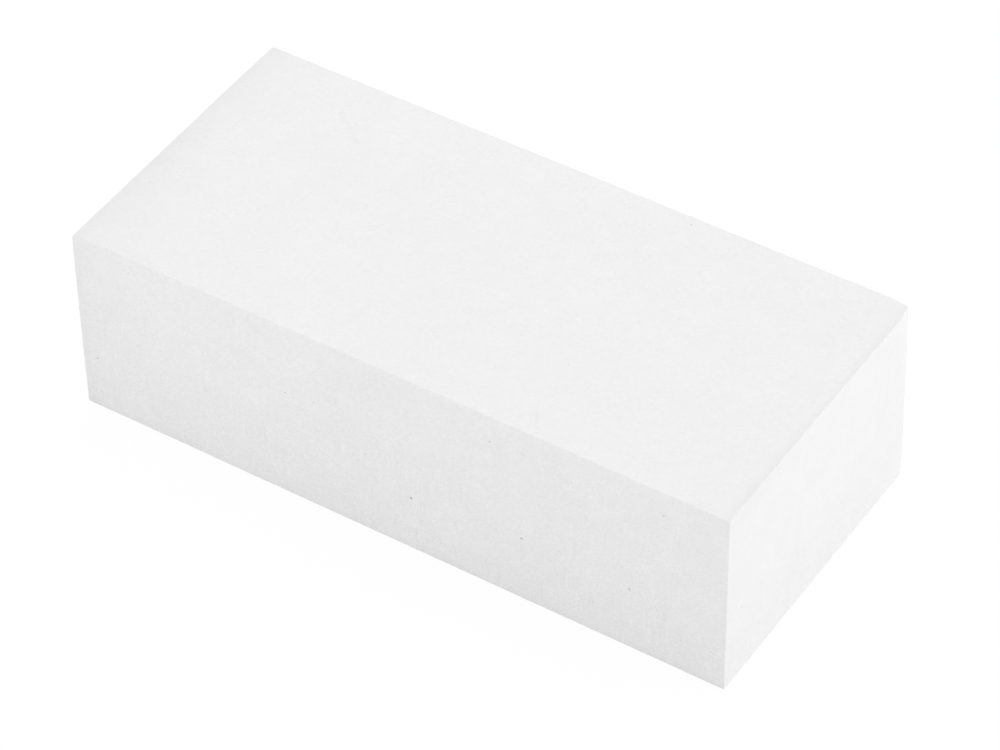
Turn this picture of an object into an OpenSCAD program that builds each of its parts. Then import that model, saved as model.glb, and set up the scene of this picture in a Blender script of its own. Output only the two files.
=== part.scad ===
// Foam block: one solid piece of fine-celled white foam, cut to the shape of a brick.
// The origin is the middle of the underside. +X runs along the length and +Z is up.
// All sizes are in millimetres.

/* [Block] */
// Length of the block, along X
block_length = 230; // [120:1:400]
// Width of the block, along Y
block_width = 106; // [60:1:250]
// Height of the block, along Z
block_height = 69; // [30:1:150]

/* [Edges] */
// Radius that the saw leaves on the four upright edges
upright_edge_radius = 0.3; // [0.1:0.1:5]
// Radius that the saw leaves on the eight edges round the top and the underside
rim_edge_radius = 0.3; // [0.1:0.1:5]

/* [Hidden] */
arc_facets = 48;

// A rectangle centred on the origin with a round corner, drawn as squares and circles.
module rounded_rectangle(length, width, radius) {
    square([length - 2 * radius, width], center = true);
    square([length, width - 2 * radius], center = true);
    for (x = [-1, 1], y = [-1, 1])
        translate([x * (length / 2 - radius), y * (width / 2 - radius)])
            circle(r = radius, $fn = arc_facets);
}

// The section seen from above, over the whole height.
module plan_prism()
    linear_extrude(height = block_height)
        rounded_rectangle(block_length, block_width, upright_edge_radius);

// The section seen from the front, through the whole width.
module front_prism()
    translate([0, block_width / 2, block_height / 2])
        rotate([90, 0, 0])
            linear_extrude(height = block_width)
                rounded_rectangle(block_length, block_height, rim_edge_radius);

// The section seen from the end, along the whole length.
module end_prism()
    translate([-block_length / 2, 0, block_height / 2])
        rotate([90, 0, 90])
            linear_extrude(height = block_length)
                rounded_rectangle(block_width, block_height, rim_edge_radius);

// The block is what the three sections have in common.
module foam_block()
    color("whitesmoke")
        intersection() {
            plan_prism();
            front_prism();
            end_prism();
        }

foam_block();
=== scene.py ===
import math

import bpy
import numpy as np
from bpy.props import FloatProperty, FloatVectorProperty, IntProperty, PointerProperty
from bpy.types import Operator, Panel, PropertyGroup
from mathutils import Matrix, Vector


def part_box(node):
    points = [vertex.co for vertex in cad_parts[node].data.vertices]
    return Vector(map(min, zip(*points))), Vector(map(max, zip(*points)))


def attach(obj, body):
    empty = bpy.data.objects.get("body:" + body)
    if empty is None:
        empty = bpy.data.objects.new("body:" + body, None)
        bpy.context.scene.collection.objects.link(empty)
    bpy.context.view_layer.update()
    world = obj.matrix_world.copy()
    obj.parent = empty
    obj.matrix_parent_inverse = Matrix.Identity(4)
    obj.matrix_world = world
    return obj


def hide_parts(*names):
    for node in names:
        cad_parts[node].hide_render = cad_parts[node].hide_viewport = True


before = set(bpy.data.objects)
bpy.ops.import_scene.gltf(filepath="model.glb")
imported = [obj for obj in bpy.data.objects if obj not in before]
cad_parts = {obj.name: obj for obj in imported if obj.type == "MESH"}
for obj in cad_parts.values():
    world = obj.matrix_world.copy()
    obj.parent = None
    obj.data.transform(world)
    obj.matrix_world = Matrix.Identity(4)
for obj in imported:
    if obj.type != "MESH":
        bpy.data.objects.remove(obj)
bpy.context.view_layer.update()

bl_info = {
    "name": "Foam Block",
    "version": (1, 0, 0),
    "blender": (4, 5, 0),
    "location": "3D View > Sidebar > Foam Block",
    "description": "Makes a sawn block of fine-celled white foam and a pale stage for it",
    "category": "Add Mesh",
}

NODE = "foam_block"
MM = 0.001
LOWEST, HIGHEST = (np.array(corner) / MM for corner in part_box(NODE))
MIDDLE = (LOWEST + HIGHEST) / 2
HALF = (HIGHEST - LOWEST) / 2

# The six faces: name, axis it faces along, which way, and the two axes that run over it. From the
# first of those to the second is an anticlockwise quarter turn, as seen from outside.
FACES = (
    ("top", 2, 1, 0, 1),
    ("underside", 2, -1, 1, 0),
    ("front", 1, -1, 0, 2),
    ("back", 1, 1, 2, 0),
    ("right_end", 0, 1, 1, 2),
    ("left_end", 0, -1, 2, 1),
)

# The open cells that stand out, in millimetres from the face's left and lower edges as seen from
# outside with the block on its base (from the front edge on the top): across, up, half width,
# half height, depth, and anticlockwise lean in degrees.
OPEN_CELLS = {
    "front": (
        (5.5, 20.5, 0.45, 0.40, 0.40, 0),
        (20.5, 62.5, 0.30, 0.30, 0.30, 0),
        (71.0, 7.5, 0.25, 0.45, 0.15, 5),
        (77.0, 42.0, 0.30, 0.25, 0.30, 20),
        (87.5, 43.0, 0.35, 0.35, 0.30, 0),
        (105.5, 31.0, 0.75, 0.25, 0.15, 25),
        (121.5, 21.0, 0.50, 0.50, 0.80, 20),
        (150.0, 59.0, 0.30, 0.40, 0.30, 10),
        (160.5, 25.0, 0.45, 0.40, 0.50, 0),
        (175.5, 16.5, 0.35, 0.30, 0.20, 0),
        (197.5, 24.0, 0.40, 0.50, 0.45, 0),
        (208.5, 60.0, 0.35, 0.35, 0.30, 0),
        (215.0, 12.5, 0.30, 0.25, 0.20, 0),
    ),
    "top": (
        (6.0, 32.0, 0.30, 0.30, 0.20, 0),
        (136.0, 99.5, 0.25, 0.25, 0.10, 0),
        (156.0, 103.0, 0.30, 0.30, 0.20, 0),
        (157.5, 30.5, 0.25, 0.25, 0.15, 0),
        (163.0, 15.5, 0.30, 0.25, 0.15, 0),
    ),
    "right_end": ((8.5, 27.0, 0.30, 0.35, 0.15, 0),),
}

# Faint scuffs: both ends in mm from the middle of the underside, half width in mm, and how much
# darker (or, below 0, lighter) the foam is along the middle.
SCUFFS = (
    ((-78.0, 37.0, 69.0), (-66.0, 28.0, 69.0), 2.0, 0.05),
    ((44.0, -42.0, 69.0), (50.0, -51.0, 69.0), 1.0, 0.05),
    ((-59.0, -53.0, 38.0), (-47.0, -53.0, 31.0), 2.0, -0.03),
    ((5.0, -53.0, 12.0), (20.0, -53.0, 4.0), 2.0, -0.03),
)

# Arrises that are rubbed back towards one end: the two faces that meet there (as signs along X, Y
# and Z), the axis the arris runs along, its rubbed end, how far it is rubbed in there along X, Y
# and Z, the share of the arris over which that fades out, and how far it reaches over the faces.
# Lengths are in mm.
RUBBED = (
    ((1, 1, 0), 2, 1, (0.9, 0.9, 0.0), 0.85, 10.0),
    ((-1, 0, 1), 1, -1, (0.3, 0.0, 0.7), 0.75, 4.0),
    ((0, -1, 1), 0, -1, (0.0, 0.15, 0.0), 1.0, 30.0),
)


class FoamShape(PropertyGroup):
    """Sizes of the block's surface"""

    arris_radius: FloatProperty(
        name="Arris radius",
        description="Radius of the sawn edges",
        default=0.3 * MM,
        unit="LENGTH",
    )
    net_step: FloatProperty(
        name="Net step",
        description="Spacing of the surface net along the arrises",
        default=0.5 * MM,
        unit="LENGTH",
    )
    unevenness: FloatProperty(
        name="Unevenness",
        description="How far the faces dip in their hollows",
        default=0.14 * MM,
        unit="LENGTH",
    )
    nick_depth: FloatProperty(
        name="Nick depth",
        description="Depth of the crumbs missing from the arrises",
        default=0.10 * MM,
        unit="LENGTH",
    )
    corner_wear: FloatProperty(
        name="Corner wear",
        description="How far the eight corners are rubbed back",
        default=0.05 * MM,
        unit="LENGTH",
    )
    rubbing: FloatProperty(
        name="Rubbing",
        description="How much of the rubbed arrises' wear to give them",
        default=1.0,
        min=0.0,
        soft_max=3.0,
    )
    cell_spacing: FloatProperty(
        name="Cell spacing",
        description="Mean distance between scattered open cells",
        default=18.0 * MM,
        unit="LENGTH",
    )
    seed: IntProperty(name="Seed", description="Start of the random draws", default=11)


class FoamFinish(PropertyGroup):
    """Colour and surface of the foam"""

    colour: FloatVectorProperty(
        name="Foam colour",
        description="Colour of the sawn foam",
        subtype="COLOR",
        size=3,
        default=(0.80, 0.80, 0.80),
    )
    cloud: FloatProperty(name="Cloud", description="Strength of the soft mottling", default=0.035)
    grain: FloatProperty(name="Grain", description="Strength of the fine cell grain", default=0.095)
    # painted shade in the small open cells
    speck: FloatProperty(name="Specks", description="Darkness of the small open cells", default=0.06)
    streak: FloatProperty(name="Streaks", description="Strength of the saw's marks", default=0.062)
    relief: FloatProperty(
        name="Relief",
        description="Height of the cell walls on the sawn faces",
        default=0.012 * MM,
        unit="LENGTH",
    )
    roughness: FloatProperty(name="Roughness", description="Roughness of the foam", default=0.92)


class StageSettings(PropertyGroup):
    """Floor, lights and camera"""

    floor_colour: FloatVectorProperty(
        name="Floor colour",
        description="Colour of the floor",
        subtype="COLOR",
        size=3,
        default=(0.72, 0.72, 0.72),
    )
    floor_glow: FloatProperty(
        name="Floor glow",
        description="How much of the floor's look is its own white glow",
        default=0.85,
        min=0.0,
        max=1.0,
    )
    room_light: FloatProperty(
        name="Room light",
        description="Strength of the even room light",
        default=0.8,
    )
    azimuth: FloatProperty(
        name="Azimuth",
        description="How far the camera stands round to the right of the front",
        default=math.radians(33.41),
        subtype="ANGLE",
    )
    elevation: FloatProperty(
        name="Elevation",
        description="How far the camera looks down",
        default=math.radians(43.18),
        subtype="ANGLE",
    )
    roll: FloatProperty(
        name="Roll",
        description="How far the camera is tipped clockwise",
        default=math.radians(0.92),
        subtype="ANGLE",
    )
    distance: FloatProperty(
        name="Distance",
        description="From the camera to the point it looks at",
        default=1.284,
        unit="LENGTH",
    )
    lens: FloatProperty(name="Lens", description="Focal length in millimetres", default=152.52)
    aim: FloatVectorProperty(
        name="Aim",
        description="The point that the camera looks at, from the middle of the block",
        size=3,
        subtype="TRANSLATION",
        unit="LENGTH",
        default=(5.13 * MM, -1.81 * MM, -4.59 * MM),
    )


# ---------------------------------------------------------------- the block's surface

ARC_STEPS = 3  # steps from the middle of an arris to the flat
SUPPORT_LINES = (0.2, 0.65)  # lines beside an arris, in mm past its rounding
COARSE = 4  # net steps to one cell away from the arrises
WELD_DIGITS = 4  # decimals of a millimetre to which the faces' nets have to agree
RING_POINTS = 16  # points round an open cell
FIRST_TURN = -3 * math.pi / 4  # the first of them faces the first corner of the cell's patch
RING_SHARES = (1.4, 1.08, 1.0, 0.9, 0.72, 0.42)  # the rings' sizes, as shares of the open cell's
RING_DEPTHS = (0.0, 0.0, 0.08, 0.45, 0.85, 1.0)  # and how deep each lies, as shares of its depth
RINGS = len(RING_SHARES)
LOBES = ((2, 0.10), (3, 0.07))  # swellings of an open cell's outline: how many, and how large
PATCH_ROOM = 1.75  # room that an open cell needs round its middle, as a share of its half size

# Scattered open cells. Lengths are in mm.
CELL_MARGIN = 5.0  # how far they stay from the arrises
SMALLEST_CELL = 0.14  # least half width
SPREAD_AMONG_CHOSEN = 0.06  # how much wider the widest is, on a face with chosen cells
SPREAD_ALONE = 0.30  # and on the other faces
CHOSEN_GAP = 2  # how many times further apart they are among chosen cells
FLATTEST_CELL, TALLEST_CELL = 0.75, 1.25  # half height as a share of half width
CELL_DEPTH = 2.5  # depth as a share of the half width's square

# The sawn surface. Lengths are in mm.
HOLLOWS = ((33.0, 0.65), (9.0, 0.35))  # size and share of the long hollows and the short ones
NICK_REACH = (0.1, 0.9)  # where the crumbs' depth starts to fade beside an arris, and where it ends
CRUMB_SIZE = 0.9
CRUMB_NOISE = (0.62, 0.92)  # noise at which a crumb starts, and at which it is fully out
WAVER_SIZE = 2.6
WAVER_SHARE = 0.35  # how deep an arris wavers between the crumbs, as a share of their depth
NICKS_AT_BASE = 0.3  # share of the nicks' depth round the underside
WEAR_REACH = (0.2, 1.6)  # the same two distances from a corner, for its wear
LATTICE_MARGIN = 2.0  # how far outside the block the noise's lattice starts

# What the finish reads from the mesh. Lengths are in mm.
PIT_DEPTH = 0.4  # depth at which an open cell counts as fully inside, for the painted shade there
END_BAND = (0.4, 3.4)  # where the greyer line on the top's right end starts to fade, and ends
TOP_TILT = 1 / 3  # upward share of the outward direction at which an arris counts as top
PAINTED_LEFT_SHADE_REACH = 12.0  # how far the painted shade at the left end takes to fall to about a third
PAINTED_FOOT_SHADOW = 0.8  # the same for the painted contact shadow along the front's foot
PAINTED_FOOT_LIGHT = 5.0  # and for the painted light at the right end's foot
PAINTED_FOOT_LIGHT_SHARE = 0.3  # how strong that painted light is beside the front's painted shadow
LOW_REACH = 0.8  # share of the height over which "low" falls from 1 to 0


def stations(half, radius, step):
    """Places of the net's lines along one axis, from -half to +half.

    Next to each end they are radius * (1 - tan(angle)) from it, with the angle going down from 45
    degrees to 0 in even steps, which puts even steps on the rounded arris. Then come the support
    lines, and the rest is even and divides into coarse cells.
    """
    angles = np.radians(np.linspace(45, 0, ARC_STEPS + 1))
    ends = np.append(radius * (1 - np.tan(angles)), radius + np.array(SUPPORT_LINES))
    inner = half - ends[-1]
    cells = COARSE * round(2 * inner / (step * COARSE))
    middle = np.linspace(-inner, inner, cells + 1)
    return np.concatenate([ends[:-1] - half, middle, half - ends[-2::-1]])


def outline(fine_sides):
    """Steps round a coarse cell from its first corner, anticlockwise.

    Each side gives its first corner, and a fine side gives the net's points along it too.
    """
    corners = COARSE * np.array([[0, 0], [1, 0], [1, 1], [0, 1]])
    ahead = np.array([[1, 0], [0, 1], [-1, 0], [0, -1]])
    sides = []
    for corner, way, fine in zip(corners, ahead, fine_sides):
        sides.append(corner + way * np.arange(COARSE if fine else 1)[:, None])
    return np.concatenate(sides)


def band_quads(ids, band):
    """The fine cells within band lines of the face's four edges, as corner numbers."""
    across, up = np.meshgrid(*(np.arange(n - 1) for n in ids.shape), indexing="ij")
    far = [np.minimum(k, n - 2 - k) for k, n in zip((across, up), ids.shape)]
    keep = np.minimum(*far) < band
    i, j = across[keep], up[keep]
    return np.stack([ids[i, j], ids[i + 1, j], ids[i + 1, j + 1], ids[i, j + 1]], axis=1)


def coarse_cells(ids, band, taken):
    """The cells away from the edges, COARSE net steps wide, as lists of corner numbers.

    A cell on the rim of the coarse field also names the fine points on its outer sides, so that it
    meets the fine band point for point. Cells marked in taken are left open.
    """
    across, up = taken.shape
    i, j = np.meshgrid(np.arange(across), np.arange(up), indexing="ij")
    outer = (j == 0, i == across - 1, j == up - 1, i == 0)
    kind = sum(side.astype(int) << bit for bit, side in enumerate(outer))
    groups = []
    for k in np.unique(kind):
        pick = (kind == k) & ~taken
        steps = outline([bool(k >> bit & 1) for bit in range(4)])
        first = np.stack([i[pick], j[pick]], axis=1) * COARSE + band
        spots = first[:, None, :] + steps[None, :, :]
        groups.append(ids[spots[..., 0], spots[..., 1]])
    return groups


def cell_rings(cells, wobble):
    """Points on and around open cells, over the face, and how deep each one lies.

    A cell is an ellipse, leaning by its angle, whose outline is multiplied by 1 plus the sum of
    size * sin(count * turn + wobble) over the lobes. Rings of points follow that outline at
    RING_SHARES of its size and RING_DEPTHS of its depth, which makes a flat rim, steep walls and a
    rounded bottom.
    """
    across, up, half_width, half_height, lean, depth = cells.T
    shares, sink = np.array(RING_SHARES), np.array(RING_DEPTHS)
    turn = 2 * np.pi * (np.arange(RING_POINTS) / RING_POINTS) + FIRST_TURN
    lobes = 1.0
    for phase, (count, swelling) in zip(wobble.T, LOBES):
        lobes = lobes + swelling * np.sin(count * turn + phase[:, None])
    x = half_width[:, None] * np.cos(turn - lean[:, None]) * lobes
    y = half_height[:, None] * np.sin(turn - lean[:, None]) * lobes
    cos, sin = np.cos(lean)[:, None], np.sin(lean)[:, None]
    round_x, round_y = x * cos - y * sin, x * sin + y * cos
    ring_x = across[:, None, None] + shares[None, :, None] * round_x[:, None, :]
    ring_y = up[:, None, None] + shares[None, :, None] * round_y[:, None, :]
    ring_depth = np.broadcast_to(depth[:, None, None] * sink[None, :, None], ring_x.shape)
    return ring_x, ring_y, ring_depth


def scatter_cells(rng, chosen, size, spacing):
    """The chosen open cells of a face, then ones scattered over it, as rows of numbers.

    One is scattered for every gap * gap of the face. With r a new random number from 0 to 1 each
    time, its half width is the least one plus spread * r * r, its half height is that times a
    number between the flattest and the tallest, its lean is a half turn * r, and its depth is
    CELL_DEPTH * half width squared. A face with chosen cells gets smaller ones, further apart.
    """
    rows = [(x, y, w, h, math.radians(lean), depth) for x, y, w, h, depth, lean in chosen]
    gap = CHOSEN_GAP * spacing if chosen else spacing
    spread = SPREAD_AMONG_CHOSEN if chosen else SPREAD_ALONE
    tries = int(size[0] * size[1] / gap**2)
    places = CELL_MARGIN + rng.random((tries, 2)) * (np.array(size) - 2 * CELL_MARGIN)
    widths = SMALLEST_CELL + spread * rng.random(tries) ** 2
    shapes = FLATTEST_CELL + (TALLEST_CELL - FLATTEST_CELL) * rng.random(tries)
    leans = np.pi * rng.random(tries)
    for place, width, shape, lean in zip(places, widths, shapes, leans):
        rows.append((*place, width, width * shape, lean, CELL_DEPTH * width * width))
    return np.array(rows)


def place_cells(rows, lines, band):
    """Gives each open cell a patch two coarse cells wide and high in the net.

    A patch stays one coarse cell inside the coarse field, and an open cell whose patch would overlap
    an earlier one's is dropped. An open cell may sit off the middle of its patch, as far as its rim
    allows. Returns the rows that found a patch, the net's lines that cross at the middle of each
    patch, and which coarse cells are taken.
    """
    counts = np.array([(len(line) - 1 - 2 * band) // COARSE for line in lines])
    starts = np.array([line[band] for line in lines])
    widths = np.array([COARSE * (line[band + 1] - line[band]) for line in lines])
    taken = np.zeros(counts, dtype=bool)
    kept, middles = [], []
    for row in rows:
        middle = np.clip(np.rint((row[:2] - starts) / widths).astype(int), 2, counts - 2)
        patch = tuple(slice(m - 1, m + 1) for m in middle)
        if taken[patch].any():
            continue
        taken[patch] = True
        centre = starts + middle * widths
        reach = widths - PATCH_ROOM * row[2:4].max()
        row = row.copy()
        row[:2] = np.clip(row[:2], centre - reach, centre + reach)
        kept.append(row)
        middles.append(middle)
    return np.array(kept), np.array(middles) * COARSE + band, taken


def cell_faces(ids, middles, first):
    """The faces of each patch: five-sided ones out to the net, rings, and a fan of triangles.

    ids are the net's point numbers, middles the patches' middle lines, and first the number of the
    first ring point. Each open cell has its rings in order and then one point at its bottom.
    """
    compass = np.array([[-1, -1], [0, -1], [1, -1], [1, 0], [1, 1], [0, 1], [-1, 1], [-1, 0]])
    spots = middles[:, None, :] + COARSE * compass
    frame_points = ids[spots[..., 0], spots[..., 1]]
    per_cell = RINGS * RING_POINTS + 1
    start = first + per_cell * np.arange(len(middles))[:, None]
    rings = start[:, :, None] + np.arange(RINGS * RING_POINTS).reshape(1, RINGS, RING_POINTS)
    after = np.roll(rings, -1, axis=2)
    outer = rings[:, 0]
    next_frame, next_outer = np.roll(frame_points, -1, axis=1), np.roll(outer, -2, axis=1)
    fives = (frame_points, next_frame, next_outer[:, ::2], outer[:, 1::2], outer[:, ::2])
    fours = (rings[:, :-1], after[:, :-1], after[:, 1:], rings[:, 1:])
    bottom = np.broadcast_to(start + per_cell - 1, outer.shape)
    threes = (rings[:, -1], after[:, -1], bottom)
    kinds = (fives, fours, threes)
    return [np.stack(corners, axis=-1).reshape(-1, len(corners)) for corners in kinds]


def face_net(face, lines, chosen, rng, spacing):
    """One face of the block, as points on the sharp-edged box, each one's sink, and face arrays.

    The points are all crossings of the net's lines, then each open cell's rings and its bottom.
    """
    _name, facing, way, run_u, run_v = face
    band = ARC_STEPS + len(SUPPORT_LINES)
    u, v = lines[run_u], lines[run_v]
    size = (u[-1] - u[0], v[-1] - v[0])
    rows = scatter_cells(rng, chosen, size, spacing)
    rows[:, 0] += u[0]
    rows[:, 1] += v[0]
    rows, middles, taken = place_cells(rows, (u, v), band)
    ids = np.arange(len(u) * len(v)).reshape(len(u), len(v))
    grid_u, grid_v = np.meshgrid(u, v, indexing="ij")
    ring_u, ring_v, ring_sink = cell_rings(rows, 2 * np.pi * rng.random((len(rows), 2)))
    ring_u = np.concatenate([ring_u.reshape(len(rows), -1), rows[:, 0:1]], axis=1)
    ring_v = np.concatenate([ring_v.reshape(len(rows), -1), rows[:, 1:2]], axis=1)
    ring_sink = np.concatenate([ring_sink.reshape(len(rows), -1), rows[:, 5:6]], axis=1)
    points = np.empty((ids.size + ring_u.size, 3))
    points[:, facing] = way * HALF[facing]
    points[:, run_u] = np.append(grid_u, ring_u)
    points[:, run_v] = np.append(grid_v, ring_v)
    sink = np.append(np.zeros(ids.size), ring_sink)
    faces = [band_quads(ids, band), *coarse_cells(ids, band, taken)]
    faces += cell_faces(ids, middles, ids.size)
    return points, sink, faces


def lattice_noise(points, size, seed):
    """Smooth random values from 0 to 1 over space.

    Seeded random numbers stand on a cubic lattice, size apart, and are blended across each cell by
    3t^2 - 2t^3 along all three axes.
    """
    spots = (points + HALF + LATTICE_MARGIN) / size
    low = np.floor(spots).astype(int)
    t = spots - low
    t = t * t * (3 - 2 * t)
    values = np.random.default_rng(seed).random(tuple(low.max(axis=0) + 2))
    total = np.zeros(len(points))
    for corner in np.ndindex(2, 2, 2):
        weight = np.prod(np.where(corner, t, 1 - t), axis=1)
        total += weight * values[tuple((low + corner).T)]
    return total


def smooth_step(low, high, values):
    """0 below low, 1 above high and 3t^2 - 2t^3 between them."""
    t = np.clip((values - low) / (high - low), 0, 1)
    return t * t * (3 - 2 * t)


def rounded(points, radius):
    """Points of the sharp-edged box moved to the rounded one, with their outward directions.

    Each point is held into the box that is smaller by the radius all round. The way from there to
    the point is the outward direction, and the rounded surface is one radius along it.
    """
    core = np.clip(points, radius - HALF, HALF - radius)
    outward = points - core
    outward /= np.linalg.norm(outward, axis=1)[:, None]
    return core + radius * outward, outward


def dip_inwards(points, outward, shape):
    """How far the sawn surface lies under the rounded box at each point, in millimetres.

    The faces dip by unevenness times a sum of noises, but for the underside, which stays flat. Near
    an arris comes nick_depth times a fine noise's high places, cut out as crumbs, plus a share of a
    coarser one. Near a corner comes its wear. Each fades out smoothly over its own reach.
    """
    edge_gaps = np.sort(HALF - np.abs(points), axis=1)
    arris_gap, corner_gap = edge_gaps[:, 1], edge_gaps[:, 2]
    off_base = np.clip(1 + outward[:, 2], 0, 1)
    hollows = 0.0
    for number, (size, share) in enumerate(HOLLOWS):
        hollows = hollows + share * lattice_noise(points, size, shape.seed + number)
    seed = shape.seed + len(HOLLOWS)
    crumbs = smooth_step(*CRUMB_NOISE, lattice_noise(points, CRUMB_SIZE, seed))
    waver = WAVER_SHARE * lattice_noise(points, WAVER_SIZE, seed + 1)
    nicks = (1 - smooth_step(*NICK_REACH, arris_gap)) * (crumbs + waver)
    dip = shape.unevenness * hollows * off_base
    dip += shape.nick_depth * nicks * (NICKS_AT_BASE + (1 - NICKS_AT_BASE) * off_base)
    dip += shape.corner_wear * (1 - smooth_step(*WEAR_REACH, corner_gap))
    return dip / MM


def rub_arrises(surface, points, rubbing):
    """Moves the rubbed arrises of surface in along each axis, by rubbing times their depths.

    That fades out evenly along the arris from its rubbed end, and with the square of nearness
    across it. The gap to an arris is the larger of those to its two faces.
    """
    for sides, along, end, depths, fade, reach in RUBBED:
        gaps = [HALF[axis] - side * points[:, axis] for axis, side in enumerate(sides) if side]
        share_across = np.max(gaps, axis=0) / reach
        share_along = (HALF[along] - end * points[:, along]) / (2 * HALF[along] * fade)
        near = np.clip(1 - share_along, 0, 1) * np.clip(1 - share_across, 0, 1) ** 2
        surface -= rubbing * near[:, None] * np.array(sides) * depths


def finish_attributes(points, outward, sink):
    """What the finish reads at each point.

    side is 1 on the upright faces, end on the two ends, and inside deep in an open cell, for the
    painted shade there. end_band is 1 on the top beside its right end, and painted_left_shade
    exp(-gap / PAINTED_LEFT_SHADE_REACH) from the left end, for painted shade there. foot is
    exp(-(height / PAINTED_FOOT_SHADOW)^2) on the front, for a painted contact shadow, and below 0
    at the right end's foot, for painted light there. rise goes from -1 at the front's foot to 1 at
    its top, for painted shade low on the front and painted light high on it, and low from 1 at the
    foot of the block to 0 near its top.
    """
    height = HALF[2] + points[:, 2]
    front, right_end = np.clip(-outward[:, 1], 0, 1), np.clip(outward[:, 0], 0, 1)
    top = np.clip(outward[:, 2] / TOP_TILT, 0, 1)
    return {
        "side": 1 - np.abs(outward[:, 2]),
        "end": np.abs(outward[:, 0]),
        # painted shade deep in the open cells
        "inside": np.clip(sink / PIT_DEPTH, 0, 1),
        "end_band": top * (1 - smooth_step(*END_BAND, HALF[0] - points[:, 0])),
        # painted shade at the left end, fading over the faces beside it
        "painted_left_shade": np.exp(-(HALF[0] + points[:, 0]) / PAINTED_LEFT_SHADE_REACH),
        # painted contact shadow along the front's foot, and painted light at the right end's foot
        "foot": front * np.exp(-((height / PAINTED_FOOT_SHADOW) ** 2))
        - PAINTED_FOOT_LIGHT_SHARE * right_end * np.exp(-height / PAINTED_FOOT_LIGHT),
        # painted shade low on the front and painted light high on it
        "rise": front * points[:, 2] / HALF[2],
        "low": 1 - smooth_step(0.0, LOW_REACH * 2 * HALF[2], height),
    }


def make_block(shape):
    """The whole sawn block as one closed mesh.

    The six faces' nets lie on the sharp-edged box and are welded where they meet. Their points then
    go to the rounded box, in along the outward direction by the dips and by the open cells' own
    depth, and in at the rubbed arrises.
    """
    rng = np.random.default_rng(shape.seed)
    radius, step = shape.arris_radius / MM, shape.net_step / MM
    lines = [stations(half, radius, step) for half in HALF]
    points, sinks, faces, first = [], [], [], 0
    for face in FACES:
        net = face_net(face, lines, OPEN_CELLS.get(face[0], ()), rng, shape.cell_spacing / MM)
        points.append(net[0])
        sinks.append(net[1])
        faces += [array + first for array in net[2]]
        first += len(net[0])
    points, sinks = np.concatenate(points), np.concatenate(sinks)
    used = np.unique(np.concatenate([array.ravel() for array in faces]))
    _spots, one_of, weld = np.unique(
        np.round(points[used], WELD_DIGITS), axis=0, return_index=True, return_inverse=True
    )
    renumber = np.zeros(len(points), dtype=int)
    renumber[used] = weld.ravel()
    source = used[one_of]
    points, sinks = points[source], sinks[source]
    surface, outward = rounded(points, radius)
    surface -= outward * (dip_inwards(points, outward, shape) + sinks)[:, None]
    rub_arrises(surface, points, shape.rubbing)
    mesh = bpy.data.meshes.new("sawn_foam")
    polygons = [corners for array in faces for corners in renumber[array].tolist()]
    mesh.from_pydata(((surface + MIDDLE) * MM).tolist(), [], polygons)
    for name, values in finish_attributes(points, outward, sinks).items():
        layer = mesh.attributes.new(name, "FLOAT", "POINT")
        layer.data.foreach_set("value", values.astype(np.float32))
    mesh.polygons.foreach_set("use_smooth", np.ones(len(mesh.polygons), dtype=bool))
    mesh.update()
    mesh.validate()
    block = bpy.data.objects.new("sawn_foam_block", mesh)
    bpy.context.scene.collection.objects.link(block)
    return block


# ---------------------------------------------------------------- the foam's finish


class Wire:
    """A node's output, on which the ordinary signs of arithmetic add Math nodes."""

    def __init__(self, finish, socket):
        self.finish = finish
        self.socket = socket

    def math(self, operation, *values):
        inputs = dict(enumerate((self, *values)))
        return self.finish.node("ShaderNodeMath", {"operation": operation}, inputs)

    def __add__(self, other):
        return self.math("ADD", other)

    def __mul__(self, other):
        return self.math("MULTIPLY", other)

    def __sub__(self, other):
        return self.math("SUBTRACT", other)

    def __rsub__(self, other):
        return self.finish.node("ShaderNodeMath", {"operation": "SUBTRACT"}, {0: other, 1: self})

    __radd__ = __add__
    __rmul__ = __mul__

    def step(self, low, high):
        """0 below low, 1 above high, and smooth between them."""
        settings = {"interpolation_type": "SMOOTHSTEP"}
        inputs = {"Value": self, "From Min": low, "From Max": high}
        return self.finish.node("ShaderNodeMapRange", settings, inputs)


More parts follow.
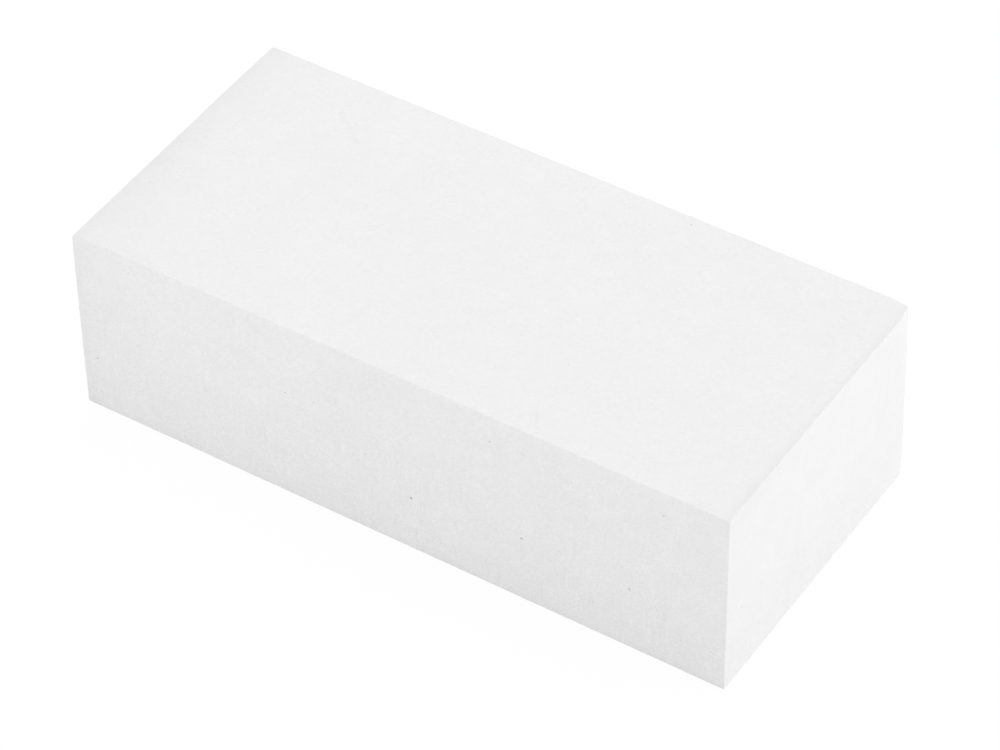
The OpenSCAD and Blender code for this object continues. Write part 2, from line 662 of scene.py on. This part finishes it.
class Finish:
    """The nodes of a material, or of the room's light, under construction."""

    def __init__(self, owner):
        owner.use_nodes = True
        self.tree = owner.node_tree
        self.tree.nodes.clear()

    def node(self, kind, settings=None, inputs=None, output=0):
        """Adds a node with its settings and its sockets' values or wires, and returns an output."""
        made = self.tree.nodes.new(kind)
        for name, value in (settings or {}).items():
            setattr(made, name, value)
        for name, value in (inputs or {}).items():
            if isinstance(value, Wire):
                self.tree.links.new(value.socket, made.inputs[name])
            else:
                made.inputs[name].default_value = value
        return Wire(self, made.outputs[output]) if made.outputs else made

    def vector(self, operation, inputs, output=0):
        """Sums on vectors and colours."""
        return self.node("ShaderNodeVectorMath", {"operation": operation}, inputs, output)

    def place(self, stretch=1.0):
        """The place on the piece in millimetres. A pattern there is stretched upwards by stretch."""
        where = self.node("ShaderNodeTexCoord", output="Object")
        return self.vector("MULTIPLY", {0: where, 1: (1 / MM, 1 / MM, 1 / MM / stretch)})

    def noise(self, size, where, detail=2.0):
        """Cloudy values about 0, with patches about size millimetres across."""
        inputs = {"Vector": where, "Scale": 1 / size, "Detail": detail}
        return self.node("ShaderNodeTexNoise", {"noise_dimensions": "3D"}, inputs) - 0.5

    def near_line(self, where, start, finish, half_width):
        """1 on the line from start to finish, fading smoothly to 0 at half_width from it.

        The nearest place on the line is start + (finish - start) * t, with t the place's own share
        of the way, held between 0 and 1.
        """
        run = Vector(finish) - Vector(start)
        away = self.vector("SUBTRACT", {0: where, 1: start})
        along = self.vector("DOT_PRODUCT", {0: away, 1: run / run.length_squared}, "Value")
        held = self.node("ShaderNodeClamp", None, {"Value": along})
        nearest = self.vector("SCALE", {0: tuple(run), "Scale": held})
        gap = self.vector("DISTANCE", {0: away, 1: nearest}, "Value")
        return (1.0 - gap * (1 / half_width)).step(0.0, 1.0)

    def attribute(self, name):
        """A number that the mesh carries at each point."""
        return self.node("ShaderNodeAttribute", {"attribute_name": name}, output="Fac")


# Patterns of the foam. Sizes are in mm. A triple of shares is how strong a pattern is on the top and
# the underside, on the front and back, and on the ends. A pair named NOISE is the noise at which a
# pattern starts and the one at which it is full.
LARGE_CLOUD, MIDDLE_CLOUD, SMALL_CLOUD = 26.0, 7.0, 2.6
MIDDLE_CLOUD_SHARES = (1.0, 1.4, 1.1)
SMALL_CLOUD_SHARES = (0.32, 0.95, 0.80)
GRAIN, FINE_GRAIN = 0.9, 0.45
FINE_GRAIN_SHARE = 0.15  # strength of the finer grain beside the other's
GRAIN_SHARES = (0.8, 1.19, 0.39)
GRAIN_AT_FOOT = 0.455  # what the foot of the sides has on top of those
GRAIN_PATCH, GRAIN_PATCH_NOISE = 9.0, (-0.25, 0.25)
FAINT_GRAIN = 0.55  # strength of the grain between its patches
PATCH_ROUGHNESS = 0.05  # how much rougher the patches are
# The specks are small open cells: their darkening is painted shade, on top of their dip in the
# relief.
SMALL_SPECKS = (1.9, 0.26, 0.25)  # spacing, half size, and the share of them that show
MEDIUM_SPECKS = (4.2, 0.5, 0.5)
MEDIUM_DARKNESS = 1.6  # how much more painted shade the medium ones get
SPECK_SHARES = (0.45, 1.0, 0.2)
LEAST_SPECK = 0.45  # the smallest speck that shows, as a share of the largest
SPECK_RIM = 0.35  # how soft a speck's rim is, as a share of the largest's half size
SPECK_ONSET = 0.02  # range of the random numbers over which the specks begin to show
SAW_MARK, SAW_MARK_NOISE = 0.8, (0.05, 0.35)
SAW_RIDGE = 0.9
SAW_STRETCH = 1 / 0.07  # how many times longer than wide the marks and ridges are
SAWN_PATCH, SAWN_PATCH_NOISE = 14.0, (-0.1, 0.14)
SAWN_PATCH_STRETCH = 2.0
SAWN_AT_TOP = 0.35  # strength of the sawn patches at the top, beside that at the foot
SAWN_ON_ENDS = 0.4  # and on the ends, beside that on the front and back
MARK_DARKNESS = 0.5  # of the marks, as a share of the streaks' strength
RIDGE_STRENGTH, PATCH_RIDGES = 0.25, 1.2  # of the ridges on the sides, and more in the patches
SCUFF_GRAIN, SCUFF_NOISE = 1.4, (-0.25, 0.2)
SMALL_SINK, MEDIUM_SINK, MARK_SINK = 1.5, 2.0, 1.2  # depths in the relief, beside the grain's

# How much lighter, or below 0 darker, the foam is where each attribute of the mesh is 1. All but
# the end band are painted light and shade: the rise paints shade low on the front and light high
# on it, the left band paints shade at the left end, the foot paints a contact shadow along the
# front's foot and light at the right end's foot, and inside paints shade in the open cells.
BANDS = (
    # painted shade low on the front and painted light high on it
    ("rise", 0.012),
    # painted shade at the left end, fading over the faces beside it
    ("painted_left_shade", -0.055),
    # painted contact shadow along the front's foot, and painted light at the right end's foot
    ("foot", -0.06),
    ("end_band", -0.035),
    # painted shade deep in the open cells
    ("inside", -0.12),
)


def specks(finish, where, spacing, size, share):
    """1 in the middle of small round spots, 0 outside them.

    The spots lie at the points of a Voronoi pattern. Each point's own random number picks the share
    of them that show, and how big they are.
    """
    inputs = {"Vector": where, "Scale": 1 / spacing, "Randomness": 1.0}
    settings = {"feature": "F1", "voronoi_dimensions": "3D"}
    gap = finish.node("ShaderNodeTexVoronoi", settings, inputs, output="Distance")
    random_colour = finish.node("ShaderNodeTexVoronoi", settings, inputs, output="Color")
    chance = finish.node("ShaderNodeSeparateColor", None, {"Color": random_colour})
    growth = chance.step(1 - share, 1.0)
    largest = size / spacing
    reach = (LEAST_SPECK + (1 - LEAST_SPECK) * growth) * largest
    inside = (reach - gap).step(0.0, SPECK_RIM * largest)
    return inside * chance.step(1 - share, 1 - share + SPECK_ONSET)


def foam_finish(settings):
    """Sawn fine-celled foam.

    The tone is a product of small changes about 1: soft mottling at three sizes, the grain of the
    cells in patches, painted shade in the small open cells, the saw's upright marks and ridges on the
    sides, which are strongest in patches and towards the foot, the scuffs, and the bands that the
    mesh carries, which but for the end band are painted shade and light. The relief is the same
    grain, small open cells and marks.
    """
    material = bpy.data.materials.new("sawn_white_foam")
    foam = Finish(material)
    where, upright = foam.place(), foam.place(SAW_STRETCH)
    side, end, low = foam.attribute("side"), foam.attribute("end"), foam.attribute("low")

    def by_face(top, long_sides, ends):
        """A strength for each kind of face."""
        return top + (long_sides - top) * side + (ends - long_sides) * end

    cloud = foam.noise(LARGE_CLOUD, where)
    cloud = cloud + by_face(*MIDDLE_CLOUD_SHARES) * foam.noise(MIDDLE_CLOUD, where)
    cloud = cloud + by_face(*SMALL_CLOUD_SHARES) * foam.noise(SMALL_CLOUD, where, 1.0)
    patch = foam.noise(GRAIN_PATCH, where, 3.0).step(*GRAIN_PATCH_NOISE)
    grain = foam.noise(GRAIN, where, 0.0) + FINE_GRAIN_SHARE * foam.noise(FINE_GRAIN, where, 0.0)
    grain_strength = by_face(*GRAIN_SHARES) + GRAIN_AT_FOOT * side * low
    grain_strength = grain_strength * (FAINT_GRAIN + (1 - FAINT_GRAIN) * patch)
    small = specks(foam, where, *SMALL_SPECKS)
    medium = specks(foam, where, *MEDIUM_SPECKS)
    mark = foam.noise(SAW_MARK, upright, 0.0).step(*SAW_MARK_NOISE)
    ridge = foam.noise(SAW_RIDGE, upright, 1.0)
    sawn = foam.noise(SAWN_PATCH, foam.place(SAWN_PATCH_STRETCH), 1.0).step(*SAWN_PATCH_NOISE)
    sawn = side * sawn * (SAWN_AT_TOP + (1 - SAWN_AT_TOP) * low) * (1.0 - (1 - SAWN_ON_ENDS) * end)
    scuffed = foam.noise(SCUFF_GRAIN, where, 1.0).step(*SCUFF_NOISE)
    tone = 1.0 + settings.cloud * cloud
    tone = tone * (1.0 + settings.grain * grain * grain_strength)
    # painted shade in the small and medium open cells
    darkness = (small + MEDIUM_DARKNESS * medium) * by_face(*SPECK_SHARES)
    tone = tone * (1.0 - settings.speck * darkness)
    tone = tone * (1.0 - settings.streak * MARK_DARKNESS * sawn * mark)
    tone = tone * (1.0 + settings.streak * (RIDGE_STRENGTH * side + PATCH_RIDGES * sawn) * ridge)
    for start, finish, half_width, strength in SCUFFS:
        scuff = foam.near_line(where, start, finish, half_width) * scuffed
        tone = tone * (1.0 - strength * scuff)
    for name, change in BANDS:
        tone = tone * (1.0 + change * foam.attribute(name))
    height = grain - SMALL_SINK * small - MEDIUM_SINK * medium - MARK_SINK * sawn * mark
    relief = {"Strength": 1.0, "Distance": settings.relief, "Height": height}
    looks = {
        "Base Color": foam.vector("SCALE", {0: tuple(settings.colour), "Scale": tone}),
        "Roughness": settings.roughness + PATCH_ROUGHNESS * patch,
        "Specular IOR Level": 0.3,
        "Normal": foam.node("ShaderNodeBump", None, relief),
    }
    surface = foam.node("ShaderNodeBsdfPrincipled", None, looks)
    foam.node("ShaderNodeOutputMaterial", None, {"Surface": surface})
    return material


FLOOR_PATCH, FLOOR_MOTTLE = 120.0, 0.01  # size of the floor's faint mottling in mm, and its strength
GLOW_STRENGTH = 1.05  # of the floor's glow, a little past white
WHITE = (1.0, 1.0, 1.0, 1.0)


def floor_finish(settings):
    """Pale floor board, lit from inside like a light table as the camera sees it.

    The glow goes to the camera alone, so it thins the block's shadow and throws no light upwards.
    """
    material = bpy.data.materials.new("pale_floor")
    board = Finish(material)
    tone = 1.0 + FLOOR_MOTTLE * board.noise(FLOOR_PATCH, board.place())
    looks = {
        "Base Color": board.vector("SCALE", {0: tuple(settings.floor_colour), "Scale": tone}),
        "Roughness": 0.9,
        "Specular IOR Level": 0.2,
    }
    surface = board.node("ShaderNodeBsdfPrincipled", None, looks)
    glow = board.node("ShaderNodeEmission", None, {"Color": WHITE, "Strength": GLOW_STRENGTH})
    seen = board.node("ShaderNodeLightPath", output="Is Camera Ray")
    mixed = {0: settings.floor_glow * seen, 1: surface, 2: glow}
    shown = board.node("ShaderNodeMixShader", None, mixed)
    board.node("ShaderNodeOutputMaterial", None, {"Surface": shown})
    return material


# ---------------------------------------------------------------- the stage

FLOOR_SIZE = 12.0  # metres
SENSOR_WIDTH = 36.0  # millimetres
NEAREST, FARTHEST = 0.02, 50.0  # what the camera sees, in metres
# Soft lights: name, direction from the block (azimuth and elevation in degrees, azimuth 0 being
# straight in front and 90 to the right), distance and side in metres, power in watts.
SOFT_LIGHTS = (
    ("right_low", 90, 12, 2.0, 1.3, 10.5),
    ("back_high", 180, 62, 2.0, 1.3, 5.5),
    ("front_near", 0, 15, 0.8, 0.4, 0.8),
    ("left_front_near", -45, 15, 0.8, 0.4, 0.75),
    ("left_near", -90, 15, 0.8, 0.4, 0.3),
    ("left_back_near", -150, 42, 0.8, 0.4, 0.55),
    ("right_back_near", 120, 15, 0.8, 0.4, 0.8),
)


def direction(azimuth, elevation):
    """The way from the block towards a place round it."""
    flat = math.cos(elevation)
    return Vector((math.sin(azimuth) * flat, -math.cos(azimuth) * flat, math.sin(elevation)))


def make_camera(settings):
    """A long lens on the block from above, in front and to the right."""
    back = direction(settings.azimuth, settings.elevation)
    right = Vector((math.cos(settings.azimuth), math.sin(settings.azimuth), 0.0))
    up = back.cross(right)
    turn = settings.roll
    turned_right = right * math.cos(turn) - up * math.sin(turn)
    turned_up = right * math.sin(turn) + up * math.cos(turn)
    camera_data = bpy.data.cameras.new("camera")
    camera_data.sensor_width = SENSOR_WIDTH
    camera_data.lens = settings.lens
    camera_data.clip_start = NEAREST
    camera_data.clip_end = FARTHEST
    camera = bpy.data.objects.new("camera", camera_data)
    target = Vector(MIDDLE * MM) + Vector(settings.aim)
    axes = Matrix((turned_right, turned_up, back)).transposed()
    camera.matrix_world = Matrix.Translation(target + back * settings.distance) @ axes.to_4x4()
    bpy.context.scene.collection.objects.link(camera)
    bpy.context.scene.camera = camera


def make_soft_light(name, azimuth, elevation, distance, size, power):
    """A square soft light that faces the block."""
    light_data = bpy.data.lights.new(name, "AREA")
    light_data.shape = "SQUARE"
    light_data.size = size
    light_data.energy = power
    light = bpy.data.objects.new(name, light_data)
    away = direction(math.radians(azimuth), math.radians(elevation))
    light.location = Vector(MIDDLE * MM) + away * distance
    light.rotation_euler = away.to_track_quat("Z", "Y").to_euler()
    light.visible_camera = False
    bpy.context.scene.collection.objects.link(light)


def make_floor(settings):
    """A wide floor at the height that the block stands on."""
    reach = np.linspace(-FLOOR_SIZE / 2, FLOOR_SIZE / 2, 3)
    x, y = np.meshgrid(reach, reach, indexing="ij")
    points = np.stack([x.ravel(), y.ravel(), np.full(x.size, LOWEST[2] * MM)], axis=1)
    ids = np.arange(x.size).reshape(x.shape)
    quads = np.stack([ids[:-1, :-1], ids[1:, :-1], ids[1:, 1:], ids[:-1, 1:]], axis=-1).reshape(-1, 4)
    mesh = bpy.data.meshes.new("floor")
    mesh.from_pydata(points.tolist(), [], quads.tolist())
    mesh.materials.append(floor_finish(settings))
    floor = bpy.data.objects.new("floor", mesh)
    bpy.context.scene.collection.objects.link(floor)


def make_room(settings):
    """Even pale light from all round, in front of a white backdrop."""
    world = bpy.data.worlds.new("pale_room")
    room = Finish(world)
    lit = room.node("ShaderNodeBackground", None, {"Color": WHITE, "Strength": settings.room_light})
    backdrop = room.node("ShaderNodeBackground", None, {"Color": WHITE, "Strength": 1.0})
    seen = room.node("ShaderNodeLightPath", output="Is Camera Ray")
    shown = room.node("ShaderNodeMixShader", None, {0: seen, 1: lit, 2: backdrop})
    room.node("ShaderNodeOutputWorld", None, {"Surface": shown})
    bpy.context.scene.world = world


# ---------------------------------------------------------------- operators and panel


class FOAM_OT_make_block(Operator):
    """Make the sawn foam block in place of the plain CAD solid"""

    bl_idname = "foam_block.make_block"
    bl_label = "Make Foam Block"

    def execute(self, context):
        block = make_block(context.scene.foam_shape)
        block.data.materials.append(foam_finish(context.scene.foam_finish))
        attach(block, "root")
        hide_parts(NODE)
        return {"FINISHED"}


class FOAM_OT_make_stage(Operator):
    """Make the pale floor, the soft lights and the camera"""

    bl_idname = "foam_block.make_stage"
    bl_label = "Make Stage"

    def execute(self, context):
        settings = context.scene.foam_stage
        make_floor(settings)
        make_room(settings)
        for light in SOFT_LIGHTS:
            make_soft_light(*light)
        make_camera(settings)
        context.scene.view_settings.view_transform = "Standard"
        return {"FINISHED"}


class FOAM_PT_sidebar(Panel):
    """The block's operators and sizes"""

    bl_idname = "FOAM_PT_sidebar"
    bl_label = "Foam Block"
    bl_space_type = "VIEW_3D"
    bl_region_type = "UI"
    bl_category = "Foam Block"

    def draw(self, context):
        parts = (
            (FOAM_OT_make_block, (context.scene.foam_shape, context.scene.foam_finish)),
            (FOAM_OT_make_stage, (context.scene.foam_stage,)),
        )
        for operator, groups in parts:
            box = self.layout.box()
            box.operator(operator.bl_idname)
            for group in groups:
                for name in group.bl_rna.properties.keys():
                    if name not in ("rna_type", "name"):
                        box.prop(group, name)


CLASSES = (
    FoamShape,
    FoamFinish,
    StageSettings,
    FOAM_OT_make_block,
    FOAM_OT_make_stage,
    FOAM_PT_sidebar,
)


def register():
    for cls in CLASSES:
        bpy.utils.register_class(cls)
    bpy.types.Scene.foam_shape = PointerProperty(type=FoamShape)
    bpy.types.Scene.foam_finish = PointerProperty(type=FoamFinish)
    bpy.types.Scene.foam_stage = PointerProperty(type=StageSettings)


def unregister():
    del bpy.types.Scene.foam_stage
    del bpy.types.Scene.foam_finish
    del bpy.types.Scene.foam_shape
    for cls in reversed(CLASSES):
        bpy.utils.unregister_class(cls)


def main():
    register()
    bpy.ops.foam_block.make_block()
    bpy.ops.foam_block.make_stage()


if __name__ == "__main__":
    main()
